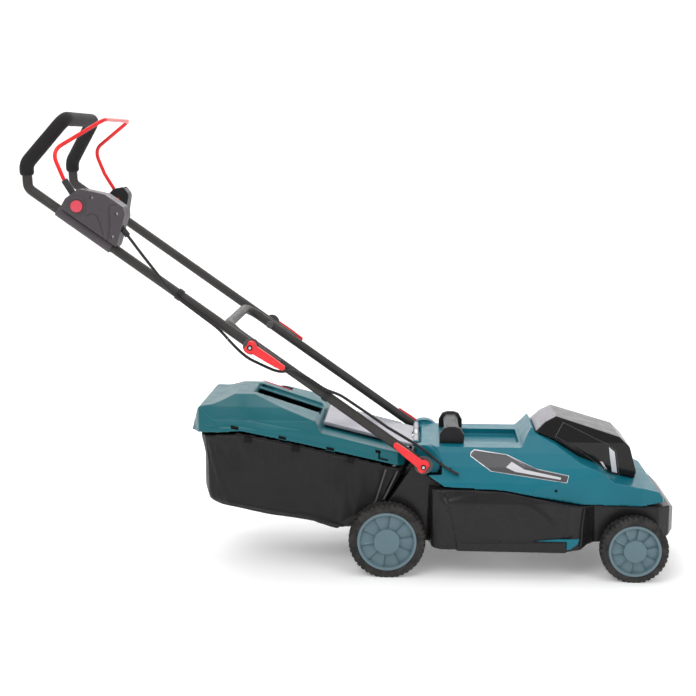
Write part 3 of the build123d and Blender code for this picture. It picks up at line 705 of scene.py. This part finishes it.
cover = softened("top_cover", TEAL, 0.002, 7, 0.30)
softened("deck", GLOSS_BLACK, 0.0022, 6, 0.35, deck_shape)
box_lid = softened("grass_box_lid", LID_TEAL, 0.002, 7, 0.30, lid_shape)
softened("carry_handle", BLACK, 0.0014, 4, 0.35)
softened("rear_flap", FLAP, 0.0014, 3, 0.30)
pack_lid = softened("battery_lid", SMOKED, 0.0015, 4, 0.35)
softened("switch_box_outer", SWITCH, 0.0009, 5, 0.35, switch_shape)
softened("switch_box_inner", SWITCH, 0.0013, 5, 0.35)
softened("bail_bracket", BLACK, 0.0013, 5, 0.35, bracket_shape)
softened("lawn_combs", TEAL, 0.0011, 3, 0.4)
levers = {}
for level in ("lower", "upper"):
    for side in ("right", "left"):
        levers[level, side] = softened(f"cam_lever_{level}_{side}", RED, 0.0009, 4, 0.4)

# below the grip ledge the box lid's recess is painted near-black as painted shade under the ledge; its floor
# slopes down to the front
box_lid.data.materials.append(CLIP_BLACK_AND_SHADE)
for face in box_lid.data.polygons:
    x, y, z = face.center * 1000
    x -= SHIFT
    lid_top = min(365, 365 - 0.321 * (x + 286))
    if abs(y) < 51.5 and -298 < x < -146 and z < lid_top - 9.5:
        face.material_index = 1

# the battery lid is paler where its upper faces catch the light
pack_lid.data.materials.append(SMOKED_TOP)
pack_lid.data.materials.append(SMOKED_BACK)
for face in pack_lid.data.polygons:
    if abs(face.normal.y) < 0.55 and face.normal.z > 0.15:
        face.material_index = 2 if face.normal.x < -0.35 else 1


# ------------------------------------------------------------------ plates that follow a moulded side
# a plane outside every side piece, and how deep a plate's back is sunk into its host, in millimetres
OUTSIDE = 230.0
SUNK = 0.8


def plate(name, outline, host, look, lift, thick, side, cuts=5):
    """Thin plate, outlined in XZ millimetres, laid on the outer side of a host piece.

    lift is how far its face stands off the host and thick its thickness, both in millimetres.
    """
    tree = BVHTree.FromPolygons([v.co for v in host.data.vertices], [p.vertices for p in host.data.polygons])
    bm = bmesh.new()
    corners = [bm.verts.new((x, 0, z)) for x, z in outline]
    bm.faces.new(corners)
    bmesh.ops.triangulate(bm, faces=bm.faces)
    for _ in range(cuts):
        bmesh.ops.subdivide_edges(bm, edges=bm.edges, cuts=1, use_grid_fill=True)
        bmesh.ops.triangulate(bm, faces=bm.faces)
    last = None
    for vert in bm.verts:
        start = at(vert.co.x, side * OUTSIDE, vert.co.z)
        hit = tree.ray_cast(start, Vector((0, -side, 0)))[0]
        last = hit if hit is not None else last
        depth = (hit.y if hit is not None else last.y) if last is not None else side * 0.15
        vert.co = Vector((start.x, depth + side * lift / 1000, start.z))
    for _ in range(4):
        bmesh.ops.smooth_vert(bm, verts=bm.verts, factor=0.3, use_axis_y=True)
    mesh = bpy.data.meshes.new(name)
    bm.to_mesh(mesh)
    bm.free()
    bm = bmesh.new()
    bm.from_mesh(mesh)
    for face in bm.faces:
        if face.normal.y * side < 0:
            face.normal_flip()
    bm.to_mesh(mesh)
    bm.free()
    holder = placed("holder", mesh)
    thicker = holder.modifiers.new("thick", "SOLIDIFY")
    thicker.thickness, thicker.offset = (thick + SUNK) / 1000, -1.0
    edge = holder.modifiers.new("bevel", "BEVEL")
    edge.width, edge.segments = 0.2 / 1000, 2
    edge.limit_method, edge.angle_limit = "ANGLE", math.radians(50)
    return put(name, baked(holder), host["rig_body"], look)


def grown(outline, by):
    """Outline pushed outward (or inward) by an amount in millimetres."""
    area = sum(a[0] * b[1] - b[0] * a[1] for a, b in zip(outline, outline[1:] + outline[:1]))
    sign = 1 if area > 0 else -1
    out = []
    for k, here in enumerate(outline):
        a, b = Vector(outline[k - 1]), Vector(outline[(k + 1) % len(outline)])
        here = Vector(here)
        n1, n2 = (here - a).normalized(), (b - here).normalized()
        n1, n2 = Vector((n1.y, -n1.x)) * sign, Vector((n2.y, -n2.x)) * sign
        push = (n1 + n2) / max(0.5, 1 + n1.dot(n2))
        out.append(tuple(here + push * by))
    return out


def disc(x, z, r, count=20):
    """Round outline, or a polygon with few corners."""
    turns = [2 * math.pi * k / count for k in range(count)]
    return [(x + r * math.cos(t), z + r * math.sin(t)) for t in turns]


BADGE = [(173, 257), (180, 261.5), (246, 254), (284, 234), (371, 219), (367, 207.5), (214, 226), (172, 252)]
BADGE_BAND = [(256, 243), (282, 229.5), (356, 216.5), (355, 212.5), (262, 225.5), (244, 233)]
CATCH_SLOT = [(-26, 266), (-15, 263.5), (-15, 257), (-26, 259.5)]
CATCH_CORNER = [(-20, 262), (-17, 261), (-16, 249), (0, 245.5), (0, 241.5), (-20, 246)]
PANE = [
    (368, 311), (462, 267), (479, 253), (487, 202), (470, 206),
    (461, 212), (446, 232), (385, 266), (352, 282),
]
GLIMPSE = [(464, 262), (476, 252), (483, 206), (472, 208.5), (467, 238)]
GLIMPSE_LOW = [(446, 231), (452, 229.5), (462, 213), (457, 214.5)]
for side, word in SIDES:
    plate(f"badge_rim_{word}", grown(BADGE, 1.4), cover, SILVER, 0.35, 0.3, side)
    plate(f"badge_plate_{word}", BADGE, cover, PLATE, 0.75, 0.4, side)
    plate(f"badge_band_{word}", BADGE_BAND, cover, PALE_PLATE, 1.05, 0.3, side)
    for k, (x, z) in enumerate(((129, 228), (346, 190))):
        plate(f"screw_cup_{word}_{k}", disc(x, z, 4.6), cover, TEAL, 0.5, 0.3, side, cuts=2)
        # the near-black disc in each screw cup is painted shade inside the screw hole
        plate(f"screw_hole_{word}_{k}", disc(x, z, 3.0), cover, CLIP_BLACK_AND_SHADE, 0.7, 0.3, side, cuts=2)
    for k, (x, z) in enumerate(((-320, 307), (-220, 287.5), (-120, 265.5))):
        slot = [(x - 8, z + 5.0), (x + 8, z + 1.8), (x + 8, z - 5.0), (x - 8, z - 1.8)]
        frame_line = grown(slot, 1.2)
        plate(f"clip_frame_{word}_{k}", frame_line, box_lid, LID_TEAL, 0.5, 0.3, side, cuts=3)
        # each clip slot is a near-black plate of painted shade in the opening
        plate(f"clip_slot_{word}_{k}", slot, box_lid, CLIP_BLACK_AND_SHADE, 0.8, 0.3, side, cuts=2)
    # the catch slot and the thin L-shaped band at its corner are near-black plates of painted shade in the
    # opening and the gap
    plate(f"catch_slot_{word}", CATCH_SLOT, box_lid, CLIP_BLACK_AND_SHADE, 0.6, 0.3, side, cuts=3)
    plate(f"catch_corner_{word}", CATCH_CORNER, box_lid, CLIP_BLACK_AND_SHADE, 0.6, 0.3, side)
    plate(f"lid_pane_rim_{word}", grown(PANE, 1.0), pack_lid, SMOKED_TOP, 0.3, 0.2, side)
    plate(f"lid_pane_{word}", grown(PANE, -0.5), pack_lid, WINDOW, 0.6, 0.2, side)
    plate(f"lid_glimpse_{word}", GLIMPSE, pack_lid, PALE, 0.85, 0.2, side)
    plate(f"lid_glimpse_low_{word}", GLIMPSE_LOW, pack_lid, PALE, 0.85, 0.2, side)


for (level, word), lever in levers.items():
    side = -1 if word == "right" else 1
    x, z = LOW_PIVOT if level == "lower" else HIGH_PIVOT
    # a near-black disc of painted shade in the hole around each lever nut
    plate(f"lever_cup_{level}_{word}", disc(x, z, 5.6), lever, CLIP_BLACK_AND_SHADE, 0.3, 0.2, side, cuts=2)
    plate(f"lever_nut_{level}_{word}", disc(x, z, 3.4, 6), lever, STEEL, 1.3, 0.6, side, cuts=2)

# ------------------------------------------------------------------ grass bag
# along X: height of the bag's rim, height of its underside, and half its width
BAG_TOP = [(-401, 286), (-308, 296), (-184, 272), (26, 226)]
BAG_LOW = [
    (-396, 160), (-386, 146), (-339, 134), (-251, 118), (-166, 108),
    (-100, 93), (-74, 92), (-34, 120), (-4, 162), (26, 220),
]
BAG_WIDE = [(-401, 84), (-396, 106), (-386, 129), (-374, 137), (-362, 141.5), (-24, 141.5), (26, 136)]


# frames of cloth simulation, and the farthest a point of the bag may settle, in metres
LAST_FRAME = 26
FARTHEST = 0.008


def lookup(x, table):
    return float(np.interp(x, [p[0] for p in table], [p[1] for p in table]))


def bag_mesh():
    """Sewn bag: a lofted loaf of cloth, open on top and at its mouth, which settle later runs through the
    cloth solver.
    """
    stations = [-401, -398, -393, -385, -375, -360, *range(-344, -90, 14), *range(-90, 26, 6), 26]
    rows = []
    for x in stations:
        top, low, wide = lookup(x, BAG_TOP), lookup(x, BAG_LOW), lookup(x, BAG_WIDE)
        soft = min(16.0, (top - low) * 0.45)
        half = []
        for k in range(12):
            half.append((wide, top - (top - low - soft) * k / 11))
        for k in range(1, 6):
            turn = math.pi / 2 * k / 6
            half.append((wide - soft * (1 - math.cos(turn)), low + soft - soft * math.sin(turn)))
        for k in range(9):
            half.append(((wide - soft) * (1 - k / 8), low))
        loop = half + [(-y, z) for y, z in half[-2::-1]]
        rows.append([at(x, y, z) for y, z in loop])
    mesh = sheet_of(rows, close_columns=True)
    bm = bmesh.new()
    bm.from_mesh(mesh)
    bm.verts.ensure_lookup_table()
    wide = len(rows[0])
    bm.faces.new([bm.verts[k] for k in range(wide)])
    bm.faces.new([bm.verts[(len(rows) - 1) * wide + k] for k in range(wide)][::-1])
    bmesh.ops.recalc_face_normals(bm, faces=bm.faces)
    bm.to_mesh(mesh)
    bm.free()
    holder = placed("holder", mesh)
    voxels = holder.modifiers.new("voxels", "REMESH")
    voxels.mode, voxels.voxel_size = "VOXEL", 0.005
    mesh = baked(holder)
    bm = bmesh.new()
    bm.from_mesh(mesh)
    gone = []
    for face in bm.faces:
        x, y, z = face.calc_center_median() * 1000
        x -= SHIFT
        if z > lookup(x, BAG_TOP) - 3 and face.normal.z > 0.4:
            gone.append(face)
        elif abs(y) < 84 and -50 < x < 16 and face.normal.x > 0.3 and z > 118:
            gone.append(face)
    bmesh.ops.delete(bm, geom=gone, context="FACES")
    bm.to_mesh(mesh)
    bm.free()
    return mesh


def settle(mesh):
    """Runs Blender's cloth on the bag, held at its rim, mouth and wire frame."""
    obj = placed("bag_sim", mesh)
    held = obj.vertex_groups.new(name="held")
    for vert in mesh.vertices:
        x, y, z = vert.co * 1000
        x -= SHIFT
        top, low = lookup(x, BAG_TOP), lookup(x, BAG_LOW)
        if z > top - 9 or (x > -92 and z < low + 9):
            held.add([vert.index], 1.0, "REPLACE")
    cloth = obj.modifiers.new("cloth", "CLOTH")
    settings = cloth.settings
    settings.quality = 6
    settings.mass = 0.25
    settings.tension_stiffness = settings.compression_stiffness = 12
    settings.shear_stiffness = 5
    settings.bending_stiffness = 0.4
    settings.vertex_group_mass = "held"
    settings.shrink_min = -0.035
    settings.use_pressure = True
    settings.uniform_pressure_force = 0.25
    cloth.collision_settings.use_self_collision = False
    cloth.point_cache.frame_start, cloth.point_cache.frame_end = 1, LAST_FRAME
    for frame_number in range(1, LAST_FRAME + 1):
        scene.frame_set(frame_number)
    settled = result(obj)
    scene.frame_set(1)
    bpy.data.objects.remove(obj)
    return settled


# larger creases on the bag's sides: route in XZ, half width and height, in millimetres
FOLDS = [
    ([(-374, 266), (-366, 226), (-354, 190), (-344, 162), (-336, 140)], 9.0, 3.4),
    ([(-352, 214), (-348, 190), (-352, 166)], 7.0, -2.6),
    ([(-386, 246), (-378, 214), (-378, 178), (-372, 152)], 8.0, 2.6),
    ([(-330, 272), (-345, 236), (-350, 210)], 8.0, 1.8),
    ([(-140, 250), (-118, 200), (-96, 130)], 9.0, 1.6),
    ([(-190, 132), (-120, 116), (-92, 104)], 8.0, 1.8),
    ([(-50, 226), (-58, 180), (-70, 120)], 7.0, 1.6),
    ([(-300, 138), (-250, 132), (-200, 122)], 10.0, 1.5),
]


def make_bag():
    """Settles the bag, limits how far it moved, adds the larger creases and keeps it off its neighbours."""
    mesh = bag_mesh()
    rest = np.array([v.co for v in mesh.vertices])
    mesh = settle(mesh)
    points = np.array([v.co for v in mesh.vertices])
    move = points - rest
    length = np.linalg.norm(move, axis=1)
    points = rest + move * np.minimum(1, FARTHEST / np.maximum(length, 1e-6))[:, None]
    for route, width, height in FOLDS:
        near = nearest(points, route)
        lift = np.clip(1 - near / (width / 1000), 0, 1)
        lift = lift * lift * (3 - 2 * lift) * height / 1000
        top = np.array([lookup(x * 1000 - SHIFT, BAG_TOP) for x in points[:, 0]]) / 1000
        lift *= np.clip((top - points[:, 2] - 0.006) / 0.02, 0, 1)
        side = np.clip((np.abs(points[:, 1]) - 0.10) / 0.03, 0, 1)
        points[:, 1] += np.sign(points[:, 1]) * lift * side
    points[:, 1] = np.clip(points[:, 1], -0.1428, 0.1428)
    points[:, 0] = np.maximum(points[:, 0], (-401.5 + SHIFT) / 1000)
    points[:, 2] = np.maximum(points[:, 2], 0.0895)
    for vert, point in zip(mesh.vertices, points):
        vert.co = point
    mesh.update()
    mesh = cleaned(mesh, solid=0.0016, subdivide=1)
    put("grass_bag_look", mesh, "grass_box", CLOTH, ("grass_bag",))


make_bag()


def hem(name, route, radius):
    """Sewn piping along a route in millimetres, with a slight wander."""
    dense = []
    for a, b in zip(route, route[1:]):
        steps = max(2, int((Vector(b) - Vector(a)).length / 4))
        dense += [Vector(a).lerp(Vector(b), k / steps) for k in range(steps)]
    dense.append(Vector(route[-1]))
    for _ in range(6):
        inner = [(a + 2 * b + c) / 4 for a, b, c in zip(dense, dense[1:], dense[2:])]
        dense = [dense[0], *inner, dense[-1]]
    path = []
    for p in dense:
        sway, dip = noise.noise(p * 0.03), noise.noise(p * 0.05 + Vector((7, 0, 0)))
        path.append(at(p.x, p.y + 0.5 * sway, p.z + 0.5 * dip))
    radii = [radius / 1000 * (1 + 0.12 * noise.noise(Vector(p) * 60)) for p in path]
    radii[0] = radii[-1] = radius / 2500
    put(name, cleaned(sweep(path, radii, 12)), "grass_box", HEM)


for side, word in SIDES:
    w = 141.5 * side
    top_route = [
        (24, w * 0.985, 221), (-60, w, 238), (-184, w, 264),
        (-308, w, 288), (-352, w, 287), (-382, w * 0.90, 284),
    ]
    hem(f"bag_top_piping_{word}", top_route, 2.2)
    low_route = [(-352, w * 0.97, 142), (-251, w * 0.985, 122), (-166, w * 0.985, 112), (-92, w * 0.985, 96)]
    hem(f"bag_low_piping_{word}", low_route, 1.8)
    mouth_route = [(-74, w * 0.98, 97), (-36, w * 0.985, 122), (-7, w * 0.985, 163), (20, w * 0.98, 214)]
    hem(f"bag_mouth_piping_{word}", mouth_route, 2.0)


# ------------------------------------------------------------------ foam grip
def arcs(points, bend, step=3.0):
    """Polyline with its corners rounded, as close points in millimetres."""
    points = [Vector(p) for p in points]
    out = [points[0]]
    for before, corner, after in zip(points, points[1:], points[2:]):
        a, b = (before - corner).normalized(), (after - corner).normalized()
        half = a.angle(b) / 2
        back = min(bend / math.tan(half), (before - corner).length * 0.48, (after - corner).length * 0.48)
        start, stop = corner + a * back, corner + b * back
        for k in range(13):
            t = k / 12
            out.append(start * (1 - t) ** 2 + corner * 2 * t * (1 - t) + stop * t * t)
    out.append(points[-1])
    dense = [out[0]]
    for a, b in zip(out, out[1:]):
        steps = max(1, round((b - a).length / step))
        dense += [a.lerp(b, (k + 1) / steps) for k in range(steps)]
    return dense


half_grip = [(-732.6, 170.2, 826), (-733.5, 170.2, 850), (-668, 116, 941)]
grip_route = arcs([(x, -y, z) for x, y, z in half_grip] + half_grip[::-1], 34)
count = len(grip_route)
radii = []
for k, p in enumerate(grip_route):
    end = min(k, count - 1 - k)
    full = 14.6 + 0.35 * noise.noise(Vector((p.y * 0.02, p.z * 0.03, 3.0)))
    radii.append((10.4 if end == 0 else 13.2 if end == 1 else full) / 1000)
foam_mesh = cleaned(sweep([at(*p) for p in grip_route], radii, 36), subdivide=1)
foam = put("foam_grip_look", foam_mesh, "upper_handle", FOAM, ("foam_grip",))

# ------------------------------------------------------------------ bail rod with its wide bends
half_rod = [(-625, 152, 767), (-625, 170.2, 767), (-659, 170.2, 822), (-681, 170.2, 876), (-587, 110, 940)]
rod_route = arcs([(x, -y, z) for x, y, z in half_rod] + half_rod[::-1], 30, 2.5)
rod_mesh = cleaned(sweep([at(*p) for p in rod_route], [0.004] * len(rod_route), 20))
put("bail_rod_look", rod_mesh, "bail", ROD, ("bail_rod",))

# ------------------------------------------------------------------ cable where it crosses the folds
fold_run = [
    (-325.8, -184.6, 499.7), (-296, -184, 466), (-262, -174, 447),
    (-222, -168, 428), (-196, -167, 437), (-162, -165, 416),
]
deck_run = [(-1.8, -150, 313.8), (36, -150, 292), (78, -152, 266), (118, -160, 232), (146, -167, 220)]
for name, run, first, second in (
    ("cable_at_upper_fold", fold_run, "upper_handle", "lower_handle"),
    ("cable_at_deck", deck_run, "lower_handle", "chassis"),
):
    line = nurbs_line(run)
    mesh = cleaned(sweep(line, [0.003] * len(line), 16))
    obj = put(f"{name}_look", mesh, None, CABLE, (name,))
    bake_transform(obj)

# ------------------------------------------------------------------ stage, light and camera
def stage():
    """A pale floor, just below the wheels, that curves up behind the object (metres)."""
    reach = 6.0
    rows = []
    for y, z in [(-5.0, 0.0), (1.2, 0.0), (2.0, 0.03), (2.6, 0.16), (3.0, 0.5), (3.2, 1.2), (3.2, 5.5)]:
        rows.append([Vector((-reach + 2 * reach * k / 12, y, z - 0.0004)) for k in range(13)])
    mesh = cleaned(sheet_of(rows), subdivide=2)
    n = Nodes("pale_floor")
    clouds = n.spread(n.noise(2.0, 3.0), 0.0, 1.0)
    n.link(n.mix(clouds, (0.90, 0.90, 0.90), (0.92, 0.92, 0.92)), n.shader.inputs["Base Color"])
    n.shader.inputs["Emission Color"].default_value = (1.0, 1.0, 1.0, 1.0)
    n.shader.inputs["Emission Strength"].default_value = 0.18
    n.shader.inputs["Roughness"].default_value = 0.7
    mesh.materials.append(n.material)
    mesh.polygons.foreach_set("use_smooth", [True] * len(mesh.polygons))
    placed("floor", mesh)


def area_light(name, place, aim, size, power):
    light = bpy.data.lights.new(name, "AREA")
    light.shape, light.energy = "RECTANGLE", power
    light.size, light.size_y = size
    obj = placed(name, light)
    obj.location = place
    obj.rotation_euler = (Vector(aim) - Vector(place)).to_track_quat("-Z", "Y").to_euler()


stage()
area_light("key", (-1.2, -2.6, 2.8), (0, 0, 0.3), (2.2, 1.6), 46)
area_light("fill", (2.4, -2.2, 1.6), (0, 0, 0.3), (1.8, 1.8), 22)
area_light("top", (0.1, 0.2, 3.2), (0, 0, 0.2), (3.2, 2.4), 34)
area_light("back", (-0.6, 2.4, 2.2), (0, 0, 0.5), (3.0, 1.2), 30)
world = bpy.data.worlds.new("studio")
scene.world = world
world.use_nodes = True
world.node_tree.nodes["Background"].inputs["Color"].default_value = (1.0, 1.0, 1.0, 1.0)
world.node_tree.nodes["Background"].inputs["Strength"].default_value = 0.62

# the camera solved from the wheels, the handle and the deck
camera = bpy.data.cameras.new("camera")
camera.lens, camera.sensor_fit = 66.0, "HORIZONTAL"
camera.sensor_width = camera.sensor_height = 36.0
view = placed("camera", camera)
view.location = at(66.3, -2728.0, 892.9)
pitch, roll, yaw = math.radians(9.113), math.radians(-0.16), math.radians(3.353)
view.rotation_euler = (math.radians(90) - pitch, roll, yaw)
scene.camera = view
